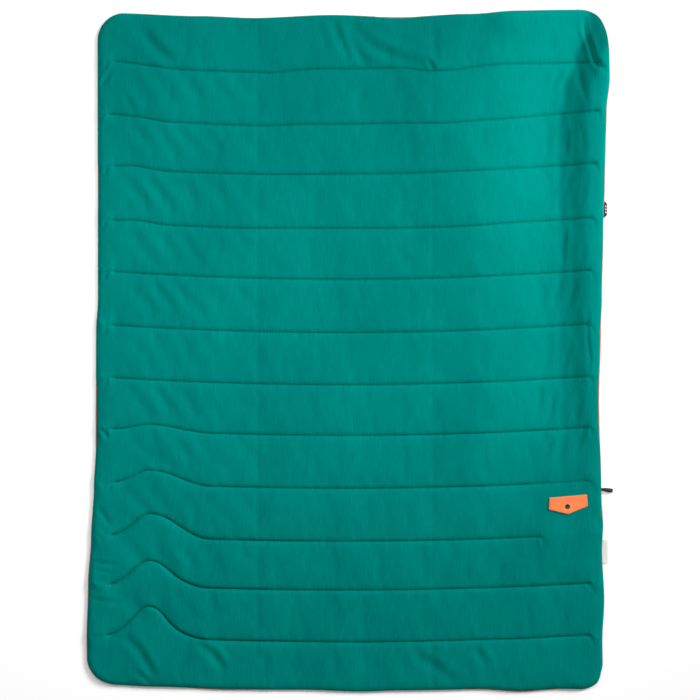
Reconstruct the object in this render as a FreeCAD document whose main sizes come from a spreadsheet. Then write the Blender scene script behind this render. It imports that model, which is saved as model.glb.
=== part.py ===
import FreeCAD, Part
import Sketcher
import math
import os

# A quilted camp blanket, lying flat, fleece side up. It is built in three thirds that fold about two
# lengthwise creases. X runs across the blanket, Y runs along it, and Z is up from the surface it lies on.

SIZES = {
    # the blanket
    "blanket_width": 1372,
    "blanket_length": 1829,
    "corner_radius": 75,
    "top_height": 14,
    "face_thickness": 3,
    "face_edge_radius": 6,
    "back_thickness": 1,
    "piping_width": 3,
    "piping_top": 4,
    # the folds: each third turns about an axis above its crease, so that it lands on what lies below it
    "left_fold_x": -240,
    "left_fold_height": 18,
    "right_fold_x": 230,
    "right_fold_height": 33,
    "body_gap": 0.3,
    "cut_overrun": 1,
    # the quilting
    "row_pitch": 140.7,
    "row_end_x": 640,
    "short_row_end_x": 524,
    "channel_width": 10,
    "channel_depth": 2,
    "thread_width": 0.8,
    "thread_height": 0.7,
    "thread_rise": 0.2,
    # the pocket, in a frame of its own: u runs along the mouth, v points away from the bag
    "pocket_x": 597,
    "pocket_y": -400,
    "pocket_turn": 5,
    "mouth_length": 92,
    "mouth_width": 8,
    "facing_width": 3,
    "facing_rise": 0.4,
    "bag_width": 128,
    "bag_above": 10,
    "bag_below": 200,
    "bag_low": 3.5,
    "bag_high": 10,
    "bag_wall": 0.6,
    "bag_clearance": 0.3,
    "tack_length": 9,
    "tack_width": 2,
    "tack_height": 0.4,
    "tack_margin": 1,
    "stitch_width": 0.8,
    "stitch_height": 0.3,
    "mouth_stitch_margin": 1,
    "flap_stitch_margin": 3,
    # the flap
    "flap_hinge_v": 8,
    "flap_width": 104,
    "flap_side": 30,
    "flap_drop": 47,
    "tip_aside": 4,
    "flap_corner_radius": 3,
    "flap_bottom": 16.4,
    "flap_lining_thickness": 0.6,
    "flap_outer_thickness": 1.2,
    # the press stud
    "snap_drop": 18,
    "snap_radius": 6.5,
    "snap_plate_radius": 5.5,
    "snap_barrel_radius": 2,
    "snap_hole_radius": 2.3,
    "snap_cap_height": 1.5,
    "snap_stud_base": 0.6,
    "snap_stud_radius": 3.1,
    "snap_stud_height": 1.8,
    "snap_socket_height": 1.3,
    "snap_socket_base": 0.3,
    "snap_socket_bore": 3.5,
    # the hang loop and the labels, which stand in the right-hand seam
    "loop_y": -373,
    "loop_root": 1.8,
    "loop_turn": -7,
    "loop_height": 4,
    "loop_length": 32,
    "loop_half_height": 4,
    "loop_end_radius": 3.9,
    "loop_inner_radius": 2.7,
    "webbing_width": 10,
    "webbing_thickness": 1.2,
    "tail_length": 5,
    "spread_length": 12,
    "label_root": 0.8,
    "label_height": 2.5,
    "side_label_y": 385,
    "side_label_length": 48,
    "side_label_reach": 10,
    "side_label_taper": 9,
    "side_label_thickness": 0.9,
    "care_label_y": -542,
    "care_label_length": 65,
    "care_label_reach": 16,
    "care_label_thickness": 0.5,
}
ROWS = 12
SHORT_ROW = 10  # on the right third this row stops beside the pocket
OUTPUT = "parts"
# A plane is named here by the direction that its sketches are padded in.
ACROSS, ALONG, UPWARD = "YZ_Plane", "XZ_Plane", "XY_Plane"
TOUCHING = 0.01  # edges this close to a place are taken to be on it
START_RADIUS = 50  # a sketch's points start on this circle, and its constraints then move them

HALF_WIDTH = "Sizes.blanket_width / 2"
HALF_LENGTH = "Sizes.blanket_length / 2"
FACE_UNDERSIDE = "Sizes.top_height - Sizes.face_thickness"
FLAP_TOP = "Sizes.flap_bottom + Sizes.flap_lining_thickness + Sizes.flap_outer_thickness"
POCKET = ("Sizes.pocket_x", "Sizes.pocket_y", "Sizes.pocket_turn")
COS, SIN = "cos(Sizes.pocket_turn * 1 deg)", "sin(Sizes.pocket_turn * 1 deg)"
SNAP_X = f"Sizes.pocket_x + Sizes.snap_drop * {SIN} - Sizes.tip_aside * {COS}"
SNAP_Y = f"Sizes.pocket_y - Sizes.snap_drop * {COS} - Sizes.tip_aside * {SIN}"

# Each third: its low and high x, and the sides of the blanket that it reaches.
THIRDS = {
    "left": (f"-{HALF_WIDTH}", "Sizes.left_fold_x - Sizes.body_gap", (-1,)),
    "centre": ("Sizes.left_fold_x + Sizes.body_gap", "Sizes.right_fold_x - Sizes.body_gap", ()),
    "right": ("Sizes.right_fold_x + Sizes.body_gap", HALF_WIDTH, (1,)),
}

doc = FreeCAD.newDocument("camp_blanket")
nodes = []


def make_sheet():
    """The driving dimensions, one cell each, in millimetres and degrees."""
    sheet = doc.addObject("Spreadsheet::Sheet", "Sizes")
    for line, (name, value) in enumerate(SIZES.items(), start=1):
        sheet.set(f"A{line}", name)
        sheet.set(f"B{line}", str(value))
        sheet.setAlias(f"B{line}", name)
    doc.recompute()


def bind(thing, **expressions):
    """Binds properties to expressions; a double underscore stands for a dot."""
    for name, expression in expressions.items():
        thing.setExpression(name.replace("__", "."), expression)


def keep(thing, node):
    """Lists an object as a sub-part, under the name that its file gets."""
    thing.Label = node
    nodes.append(thing)
    return thing


def start_body(node):
    body = doc.addObject("PartDesign::Body", node)
    body.AllowCompound = True
    return keep(body, node)


def add_polygon(sketch, corners):
    """A closed outline whose corners are pairs of expressions."""
    first, count = sketch.GeometryCount, len(corners)
    step = 2 * math.pi / count
    spots = [FreeCAD.Vector(math.cos(i * step), math.sin(i * step), 0) * START_RADIUS for i in range(count)]
    for i in range(count):
        sketch.addGeometry(Part.LineSegment(spots[i], spots[(i + 1) % count]), False)
    for i in range(count):
        sketch.addConstraint(Sketcher.Constraint("Coincident", first + i, 2, first + (i + 1) % count, 1))
    for i, (across, along) in enumerate(corners):
        for kind, expression, value in (("DistanceX", across, spots[i].x), ("DistanceY", along, spots[i].y)):
            index = sketch.addConstraint(Sketcher.Constraint(kind, -1, 1, first + i, 1, value))
            sketch.setExpression(f"Constraints[{index}]", expression)


def add_circle(sketch, radius):
    circle = Part.Circle(FreeCAD.Vector(0, 0, 0), FreeCAD.Vector(0, 0, 1), START_RADIUS)
    index = sketch.addGeometry(circle, False)
    sketch.addConstraint(Sketcher.Constraint("Coincident", index, 3, -1, 1))
    bound = sketch.addConstraint(Sketcher.Constraint("Radius", index, START_RADIUS))
    sketch.setExpression(f"Constraints[{bound}]", radius)


def add_sketch(body, plane, outlines, at=("0", "0", "0"), turn="0"):
    """A sketch on one of the body's own planes. An outline is a list of corners, or a circle's radius."""
    sketch = body.newObject("Sketcher::SketchObject", "outline")
    support = next(f for f in body.Origin.OriginFeatures if f.Role == plane)
    sketch.AttachmentSupport = [(support, "")]
    sketch.MapMode = "FlatFace"
    bind(
        sketch,
        AttachmentOffset__Base__x=at[0],
        AttachmentOffset__Base__y=at[1],
        AttachmentOffset__Base__z=at[2],
        AttachmentOffset__Rotation__Angle=turn,
    )
    for outline in outlines:
        if isinstance(outline, str):
            add_circle(sketch, outline)
        else:
            add_polygon(sketch, outline)
    return sketch


def rectangle(low_x, high_x, low_y, high_y):
    return [(low_x, low_y), (high_x, low_y), (high_x, high_y), (low_x, high_y)]


def pad(body, sketch, length, both_ways=False):
    feature = body.newObject("PartDesign::Pad", "pad")
    feature.Profile = sketch
    if both_ways:
        feature.SideType = "Symmetric"
    bind(feature, Length=length)
    doc.recompute()
    return feature


def cut(body, sketch, length):
    """Cuts against the sketch's normal, and makes sure that something was cut."""
    before = body.Shape.Volume
    feature = body.newObject("PartDesign::Pocket", "cut")
    feature.Profile = sketch
    bind(feature, Length=length)
    doc.recompute()
    if body.Shape.Volume >= before:
        raise RuntimeError(f"{body.Label}: a cut took nothing away")
    return feature


def round_edges(body, radius, chosen):
    """Rounds the edges of the body's last feature for which chosen(edge) holds."""
    base = body.Tip
    names = [f"Edge{i}" for i, edge in enumerate(base.Shape.Edges, start=1) if chosen(edge)]
    if not names:
        raise RuntimeError(f"{body.Label}: no edge to round")
    feature = body.newObject("PartDesign::Fillet", "rounding")
    feature.Base = (base, names)
    bind(feature, Radius=radius)
    doc.recompute()
    return feature


def is_upright(box):
    return box.XLength + box.YLength < TOUCHING < box.ZLength


def upright_at(distance):
    """Picks upright edges that far from the blanket's middle, across it."""

    def chosen(edge):
        box = edge.BoundBox
        return is_upright(box) and abs(abs(box.Center.x) - distance) < TOUCHING

    return chosen


def level_at(distance):
    """Picks level edges that run along the blanket, that far out in their body's own frame."""

    def chosen(edge):
        box = edge.BoundBox
        return box.XLength + box.ZLength < TOUCHING and abs(box.Center.x - distance) < TOUCHING

    return chosen


def on_top_rim(edge):
    """Picks the edges where the face turns down into the blanket's sides."""
    box, top = edge.BoundBox, SIZES["top_height"]
    at_top = abs(box.ZMin - top) < TOUCHING and abs(box.ZMax - top) < TOUCHING
    far_out = abs(box.Center.x) > SIZES["blanket_width"] / 2 - SIZES["corner_radius"]
    far_along = abs(box.Center.y) > SIZES["blanket_length"] / 2 - SIZES["corner_radius"]
    return at_top and (far_out or far_along)


def outline_of(third, inset, past_fold):
    """A third's outline, set in from the blanket's sides and carried past its folds."""
    low, high, sides = THIRDS[third]
    low += f" + {inset}" if -1 in sides else f" - {past_fold}"
    high += f" - {inset}" if 1 in sides else f" + {past_fold}"
    return rectangle(low, high, f"-({HALF_LENGTH} - {inset})", f"{HALF_LENGTH} - {inset}")


def round_corners(body, third, inset):
    """Rounds a third's corners where it reaches the blanket's side. inset is a cell's name, or nothing."""
    if THIRDS[third][2]:
        distance = SIZES["blanket_width"] / 2 - SIZES.get(inset, 0)
        radius = f"Sizes.corner_radius - Sizes.{inset}" if inset else "Sizes.corner_radius"
        round_edges(body, radius, upright_at(distance))


def layer(node, third, inset, low, high):
    """One flat layer of a third. inset is a cell's name, or nothing."""
    body = start_body(node)
    outline = outline_of(third, f"Sizes.{inset}" if inset else "0", "0")
    sketch = add_sketch(body, UPWARD, [outline], at=("0", "0", low))
    pad(body, sketch, f"{high} - ({low})")
    round_corners(body, third, inset)
    return body


def hollow_layer(node, third, wall, low, roof, high):
    """A layer from low to high that is open below the roof, with a wall along the blanket's own sides."""
    body = start_body(node)
    outer = add_sketch(body, UPWARD, [outline_of(third, "0", "0")], at=("0", "0", low))
    pad(body, outer, f"{high} - ({low})")
    inner = add_sketch(body, UPWARD, [outline_of(third, f"Sizes.{wall}", "1")], at=("0", "0", roof))
    cut(body, inner, f"{roof} - ({low})")
    round_corners(body, third, wall)
    round_corners(body, third, "")
    return body


def row_y(row):
    return f"({(ROWS + 1) / 2 - row}) * Sizes.row_pitch"


def row_ends(third, row):
    """Where a quilting row starts and stops on one third."""
    low, high, sides = THIRDS[third]
    if -1 in sides:
        low = "-Sizes.row_end_x"
    if 1 in sides:
        high = "Sizes.short_row_end_x" if row == SHORT_ROW else "Sizes.row_end_x"
    return low, high


def press_rows(body, third, first, last):
    """Presses the channels of the rows from first to last into the face."""
    low, high = row_ends(third, first)
    half, top = "Sizes.channel_width / 2", "Sizes.top_height"
    y = row_y(first)
    valley = [(f"{y} - {half}", top), (y, f"{top} - Sizes.channel_depth"), (f"{y} + {half}", top)]
    feature = cut(body, add_sketch(body, ACROSS, [valley], at=("0", "0", high)), f"{high} - ({low})")
    if last > first:
        pattern = body.newObject("PartDesign::LinearPattern", "rows")
        pattern.Originals = [feature]
        pattern.Direction = (feature.Profile[0], ["H_Axis"])
        pattern.Reversed = True
        pattern.Occurrences = last - first + 1
        bind(pattern, Length=f"{last - first} * Sizes.row_pitch")
        body.Tip = pattern
        doc.recompute()


def make_face(third):
    """The knit face: a thick sheet that turns down to the piping, with a pressed channel along each row."""
    low, top = "Sizes.piping_top", "Sizes.top_height"
    body = hollow_layer(f"face_panel_{third}", third, "face_thickness", low, FACE_UNDERSIDE, top)
    round_edges(body, "Sizes.face_edge_radius", on_top_rim)
    if third == "right":
        press_rows(body, third, 1, SHORT_ROW - 1)
        press_rows(body, third, SHORT_ROW, SHORT_ROW)
        press_rows(body, third, SHORT_ROW + 1, ROWS)
        open_face(body)
    else:
        press_rows(body, third, 1, ROWS)
    return body


def mouth_rectangle(margin):
    """The pocket mouth's outline in the pocket's frame, with a margin all round."""
    half_u = f"(Sizes.mouth_length / 2 + {margin})"
    half_v = f"(Sizes.mouth_width / 2 + {margin})"
    return rectangle(f"-{half_u}", half_u, f"-{half_v}", half_v)


def open_face(body):
    """Cuts the pocket mouth and the press stud's hole through the face."""
    top = "Sizes.top_height"
    mouth = add_sketch(
        body, UPWARD, [mouth_rectangle("Sizes.facing_width")], at=(POCKET[0], POCKET[1], top), turn=POCKET[2]
    )
    cut(body, mouth, "Sizes.face_thickness + Sizes.cut_overrun")
    hole = add_sketch(body, UPWARD, ["Sizes.snap_hole_radius"], at=(SNAP_X, SNAP_Y, top))
    cut(body, hole, "Sizes.face_thickness + Sizes.cut_overrun")


def make_batting(third):
    """The insulation. The right third has a space for the pocket bag."""
    body = layer(f"batting_{third}", third, "face_thickness", "Sizes.back_thickness", FACE_UNDERSIDE)
    if third == "right":
        half = "(Sizes.bag_width / 2 + Sizes.bag_clearance)"
        space = rectangle(
            f"-{half}",
            half,
            "-(Sizes.bag_below + Sizes.bag_clearance)",
            "Sizes.bag_above + Sizes.bag_clearance",
        )
        sketch = add_sketch(body, UPWARD, [space], at=(POCKET[0], POCKET[1], FACE_UNDERSIDE), turn=POCKET[2])
        cut(body, sketch, f"{FACE_UNDERSIDE} - (Sizes.bag_low - Sizes.bag_clearance)")
    return body


def add_box(name, low, high):
    """A box between two corners that are given as expressions."""
    box = doc.addObject("Part::Box", name)
    bind(
        box,
        Length=f"({high[0]}) - ({low[0]})",
        Width=f"({high[1]}) - ({low[1]})",
        Height=f"({high[2]}) - ({low[2]})",
        Placement__Base__x=low[0],
        Placement__Base__y=low[1],
        Placement__Base__z=low[2],
    )
    return box


def make_thread(third):
    """The stitched thread, which lies at the bottom of each channel."""
    half = "Sizes.thread_width / 2"
    low_z = "Sizes.top_height - Sizes.channel_depth + Sizes.thread_rise"
    runs = []
    for row in range(1, ROWS + 1):
        low, high = row_ends(third, row)
        y = row_y(row)
        low_corner = (low, f"{y} - {half}", low_z)
        high_corner = (high, f"{y} + {half}", f"{low_z} + Sizes.thread_height")
        runs.append(add_box("run", low_corner, high_corner))
    thread = doc.addObject("Part::Compound", f"quilting_thread_{third}")
    thread.Links = runs
    return keep(thread, f"quilting_thread_{third}")


def place_on_pocket(thing):
    """Moves a sub-part that was made in the pocket's frame to where the pocket is."""
    bind(
        thing,
        Placement__Base__x=POCKET[0],
        Placement__Base__y=POCKET[1],
        Placement__Rotation__Angle=POCKET[2],
    )


def pocket_box(name, half_u, low_v, high_v, low_z, high_z):
    return add_box(name, (f"-({half_u})", low_v, low_z), (half_u, high_v, high_z))


def make_bag():
    """The pocket bag: two layers of lining, sewn round, with a slit under the mouth."""
    low, high, wall = "Sizes.bag_low", "Sizes.bag_high", "Sizes.bag_wall"
    half, above, below = "Sizes.bag_width / 2", "Sizes.bag_above", "Sizes.bag_below"
    outside = pocket_box("outside", half, f"-{below}", above, low, high)
    inside = pocket_box(
        "inside",
        f"{half} - {wall}",
        f"-{below} + {wall}",
        f"{above} - {wall}",
        f"{low} + {wall}",
        f"{high} - {wall}",
    )
    half_slit = "Sizes.mouth_width / 2"
    slit = pocket_box(
        "slit",
        "Sizes.mouth_length / 2",
        f"-{half_slit}",
        half_slit,
        f"{high} - {wall} - Sizes.cut_overrun",
        f"{high} + Sizes.cut_overrun",
    )
    tools = doc.addObject("Part::MultiFuse", "bag_space")
    tools.Shapes = [inside, slit]
    bag = doc.addObject("Part::Cut", "pocket_bag")
    bag.Base = outside
    bag.Tool = tools
    place_on_pocket(bag)
    return keep(bag, "pocket_bag")


def frame_on_pocket(node, outer_margin, inner_margin, low_z, high_z):
    """A flat frame round the pocket mouth, between two margins."""
    body = start_body(node)
    outlines = [mouth_rectangle(outer_margin), mouth_rectangle(inner_margin)]
    pad(body, add_sketch(body, UPWARD, outlines, at=("0", "0", low_z)), f"{high_z} - ({low_z})")
    place_on_pocket(body)
    return body


def make_mouth():
    """The facing that lines the mouth, the stitching round it and a bar tack across each of its ends."""
    top = "Sizes.top_height"
    facing_top = f"{top} + Sizes.facing_rise"
    frame_on_pocket("pocket_mouth_facing", "Sizes.facing_width", "0", "Sizes.bag_high", facing_top)
    inner = "Sizes.facing_width + Sizes.mouth_stitch_margin"
    outer = f"{inner} + Sizes.stitch_width"
    frame_on_pocket("pocket_topstitch", outer, inner, top, f"{top} + Sizes.stitch_height")
    tacks = []
    half_tack = "Sizes.tack_length / 2"
    for side in (-1, 1):
        middle = f"{side} * (Sizes.mouth_length + Sizes.facing_width) / 2"
        low = (f"{middle} - Sizes.tack_width / 2", f"-{half_tack}", facing_top)
        high = (f"{middle} + Sizes.tack_width / 2", half_tack, f"{facing_top} + Sizes.tack_height")
        tacks.append(add_box("tack", low, high))
    pair = doc.addObject("Part::Compound", "pocket_bartacks")
    pair.Links = tacks
    place_on_pocket(pair)
    keep(pair, "pocket_bartacks")


def flap_corners(inset):
    """The flap's five-sided outline in the pocket's frame, set in on the four sides below its hinge."""
    half = f"(Sizes.flap_width / 2 - {inset})"
    hinge = f"(Sizes.flap_hinge_v - {inset})"
    shoulder = "(Sizes.flap_hinge_v - Sizes.flap_side)"
    tip = f"(Sizes.flap_hinge_v - Sizes.flap_drop + {inset})"
    tip_u = "-Sizes.tip_aside"
    return [(f"-{half}", hinge), (f"-{half}", shoulder), (tip_u, tip), (half, shoulder), (half, hinge)]


def below_hinge(edge):
    """Picks the flap's upright edges at its shoulders and its tip."""
    box = edge.BoundBox
    return is_upright(box) and box.Center.y < SIZES["flap_hinge_v"] - SIZES["flap_side"] / 2


def flap_layer(node, low, high):
    """One cloth layer of the flap, with the hole that the press stud's barrel goes through."""
    body = start_body(node)
    outline = add_sketch(body, UPWARD, [flap_corners("Sizes.body_gap")], at=("0", "0", low))
    pad(body, outline, f"{high} - ({low})")
    round_edges(body, "Sizes.flap_corner_radius", below_hinge)
    place = ("-Sizes.tip_aside", "-Sizes.snap_drop", high)
    cut(body, add_sketch(body, UPWARD, ["Sizes.snap_hole_radius"], at=place), f"{high} - ({low})")
    place_on_pocket(body)
    return body


def make_flap():
    """The flap's lining and outer cloth, and the stitching along its edge."""
    lining_top = "Sizes.flap_bottom + Sizes.flap_lining_thickness"
    flap_layer("flap_lining", "Sizes.flap_bottom", lining_top)
    flap_layer("flap_outer", lining_top, FLAP_TOP)
    stitching = start_body("flap_topstitch")
    margin = "Sizes.flap_stitch_margin"
    outlines = [flap_corners(margin), flap_corners(f"({margin} + Sizes.stitch_width)")]
    pad(stitching, add_sketch(stitching, UPWARD, outlines, at=("0", "0", FLAP_TOP)), "Sizes.stitch_height")
    place_on_pocket(stitching)


def turned(node, profile, height):
    """A round piece of the press stud: a profile of radius and height, turned about the stud's axis."""
    body = start_body(node)
    sketch = add_sketch(body, ALONG, [profile])
    feature = body.newObject("PartDesign::Revolution", "turned")
    feature.Profile = sketch
    feature.ReferenceAxis = (sketch, ["V_Axis"])
    feature.Angle = 360
    bind(body, Placement__Base__x=SNAP_X, Placement__Base__y=SNAP_Y, Placement__Base__z=height)
    doc.recompute()
    return body


def make_snap():
    """The press stud: cap and socket on the flap, stud and post on the blanket."""
    radius, plate, barrel = "Sizes.snap_radius", "Sizes.snap_plate_radius", "Sizes.snap_barrel_radius"
    cloth = "(Sizes.flap_lining_thickness + Sizes.flap_outer_thickness)"
    cap_height, bore = "Sizes.snap_cap_height", "Sizes.snap_socket_bore"
    cap = [
        ("0", f"-{cloth}"),
        (barrel, f"-{cloth}"),
        (barrel, "0"),
        (radius, "0"),
        (radius, f"{cap_height} / 3"),
        (plate, f"{cap_height} * 5 / 6"),
        ("0", cap_height),
    ]
    turned("snap_cap", cap, FLAP_TOP)
    depth, base = "Sizes.snap_socket_height", "Sizes.snap_socket_base"
    socket = [
        ("0", "0"),
        ("0", f"-{base}"),
        (bore, f"-{base}"),
        (bore, f"-{depth}"),
        (plate, f"-{depth}"),
        (plate, "0"),
    ]
    turned("snap_socket", socket, "Sizes.flap_bottom")
    foot, knob, knob_height = "Sizes.snap_stud_base", "Sizes.snap_stud_radius", "Sizes.snap_stud_height"
    stud = [("0", "0"), (plate, "0"), (plate, foot), (knob, foot), (knob, knob_height), ("0", knob_height)]
    turned("snap_stud", stud, "Sizes.top_height")
    flange = f"{FACE_UNDERSIDE} - Sizes.bag_high"
    reach = "Sizes.top_height - Sizes.bag_high"
    post = [("0", "0"), (plate, "0"), (plate, flange), (barrel, flange), (barrel, reach), ("0", reach)]
    turned("snap_post", post, "Sizes.bag_high")


def make_loop():
    """The hang loop: webbing that leaves the seam as two closed tails and opens into an eye."""
    half, thick = "Sizes.loop_half_height", "Sizes.webbing_thickness"
    tail, spread, tip = "Sizes.tail_length", "Sizes.spread_length", "Sizes.loop_length"
    inner_half = f"({half} - {thick})"
    outer = [
        ("0", f"-{thick}"),
        (tail, f"-{thick}"),
        (spread, f"-{half}"),
        (tip, f"-{half}"),
        (tip, half),
        (spread, half),
        (tail, thick),
        ("0", thick),
    ]
    inner = [
        (f"{tail} + {thick}", "0"),
        (spread, f"-{inner_half}"),
        (f"{tip} - {thick}", f"-{inner_half}"),
        (f"{tip} - {thick}", inner_half),
        (spread, inner_half),
    ]
    body = start_body("hang_loop")
    pad(body, add_sketch(body, ALONG, [outer, inner]), "Sizes.webbing_width", both_ways=True)
    length, wall = SIZES["loop_length"], SIZES["webbing_thickness"]
    round_edges(body, "Sizes.loop_end_radius", level_at(length))
    round_edges(body, "Sizes.loop_inner_radius", level_at(length - wall))
    half_width = "Sizes.webbing_width / 2 - Sizes.tack_margin"
    tack = add_box(
        "tack",
        ("Sizes.tail_length / 2", f"-({half_width})", thick),
        ("Sizes.tail_length / 2 + Sizes.tack_width", half_width, f"{thick} + Sizes.tack_height"),
    )
    tack_holder = doc.addObject("Part::Compound", "loop_tack")
    tack_holder.Links = [tack]
    keep(tack_holder, "hang_loop_bartack")
    for thing in (body, tack_holder):
        bind(
            thing,
            Placement__Base__x=f"{HALF_WIDTH} + Sizes.loop_root",
            Placement__Base__y="Sizes.loop_y",
            Placement__Base__z="Sizes.loop_height",
            Placement__Rotation__Angle="Sizes.loop_turn",
        )


def make_label(name, taper):
    """A flat label that stands out of the side seam, with its outer corners cut by taper."""
    half, reach, thick = f"Sizes.{name}_length / 2", f"Sizes.{name}_reach", f"Sizes.{name}_thickness"
    outline = [("0", f"-{half}"), (reach, f"-({half} - {taper})"), (reach, f"{half} - {taper}"), ("0", half)]
    body = start_body(name)
    pad(body, add_sketch(body, UPWARD, [outline]), thick)
    bind(
        body,
        Placement__Base__x=f"{HALF_WIDTH} + Sizes.label_root",
        Placement__Base__y=f"Sizes.{name}_y",
        Placement__Base__z=f"Sizes.label_height - {thick} / 2",
    )


def make_blanket():
    for third in THIRDS:
        make_face(third)
        make_batting(third)
        back, piping = "Sizes.back_thickness", "Sizes.piping_top"
        layer(f"back_panel_{third}", third, "", "0", back)
        hollow_layer(f"edge_piping_{third}", third, "piping_width", back, piping, piping)
        make_thread(third)


def check_and_write():
    """Stops if anything failed to build, then writes each sub-part."""
    doc.recompute()
    failed = [thing.Name for thing in doc.Objects if {"Invalid", "Error"} & set(thing.State)]
    if failed:
        raise RuntimeError(f"not built: {failed}")
    os.makedirs(OUTPUT, exist_ok=True)
    for thing in nodes:
        shape = thing.Shape
        if shape.isNull() or not shape.isValid():
            raise RuntimeError(f"{thing.Label} has no valid shape")
        shape.exportStep(os.path.join(OUTPUT, f"{thing.Label}.step"))
        box = shape.BoundBox
        height = f"z {box.ZMin:.2f} to {box.ZMax:.2f}"
        print(f"{thing.Label}: {len(shape.Solids)} solids, {shape.Volume:.0f} mm3, {height}")


make_sheet()
make_blanket()
make_bag()
make_mouth()
make_flap()
make_snap()
make_loop()
make_label("side_label", "Sizes.side_label_taper")
make_label("care_label", "0")
check_and_write()
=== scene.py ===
"""Camp blanket: the visible pieces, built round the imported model. All places are in metres, in its frame."""
import math

import bmesh
import bpy
import numpy as np
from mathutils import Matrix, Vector


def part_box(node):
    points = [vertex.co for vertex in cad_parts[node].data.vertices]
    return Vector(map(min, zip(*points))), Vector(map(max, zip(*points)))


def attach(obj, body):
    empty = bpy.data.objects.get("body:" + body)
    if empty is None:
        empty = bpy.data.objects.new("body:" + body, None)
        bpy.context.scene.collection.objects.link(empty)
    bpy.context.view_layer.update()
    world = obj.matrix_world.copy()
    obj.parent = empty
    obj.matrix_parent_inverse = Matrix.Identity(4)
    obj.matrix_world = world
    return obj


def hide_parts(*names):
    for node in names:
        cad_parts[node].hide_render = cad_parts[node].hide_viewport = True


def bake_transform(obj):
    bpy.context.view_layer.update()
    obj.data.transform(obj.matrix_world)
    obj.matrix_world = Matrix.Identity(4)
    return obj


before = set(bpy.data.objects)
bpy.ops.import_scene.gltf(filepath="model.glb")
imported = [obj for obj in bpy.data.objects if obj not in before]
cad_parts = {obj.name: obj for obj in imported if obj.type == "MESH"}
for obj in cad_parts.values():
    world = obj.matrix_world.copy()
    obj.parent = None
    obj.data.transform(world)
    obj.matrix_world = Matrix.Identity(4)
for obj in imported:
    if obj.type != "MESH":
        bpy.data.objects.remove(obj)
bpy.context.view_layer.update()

MM = 0.001
FACE_LEFT, FACE_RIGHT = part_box("face_panel_left"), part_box("face_panel_right")
HALF_WIDTH, HALF_LENGTH, TOP = FACE_RIGHT[1]
CORNER = 75 * MM

# ------------------------------------------------------------------ camera, light and floor


def make_camera():
    data = bpy.data.cameras.new("camera")
    data.lens = 85
    data.sensor_width = 36
    camera = bpy.data.objects.new("camera", data)
    framed = 1.897  # metres across the picture
    distance = framed / data.sensor_width * data.lens
    camera.location = (7 * MM, 4 * MM, distance)
    bpy.context.scene.collection.objects.link(camera)
    bpy.context.scene.camera = camera


def make_light(name, kind, place, power, size):
    """A light that points down or, for a sun, from its place to the middle. The camera doesn't see it."""
    data = bpy.data.lights.new(name, kind)
    data.energy = power
    if kind == "SUN":
        data.angle = math.radians(size)
        aim = -Vector(place)
    else:
        data.shape = "RECTANGLE"
        data.size, data.size_y = size
        aim = Vector((0, 0, -1))
    light = bpy.data.objects.new(name, data)
    light.location = place
    light.rotation_euler = aim.to_track_quat("-Z", "Y").to_euler()
    light.visible_camera = False
    bpy.context.scene.collection.objects.link(light)


def make_world(strength):
    world = bpy.data.worlds.new("studio")
    world.use_nodes = True
    background = world.node_tree.nodes["Background"]
    background.inputs["Color"].default_value = (1, 1, 1, 1)
    background.inputs["Strength"].default_value = strength
    bpy.context.scene.world = world


# ------------------------------------------------------------------ materials


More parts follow.
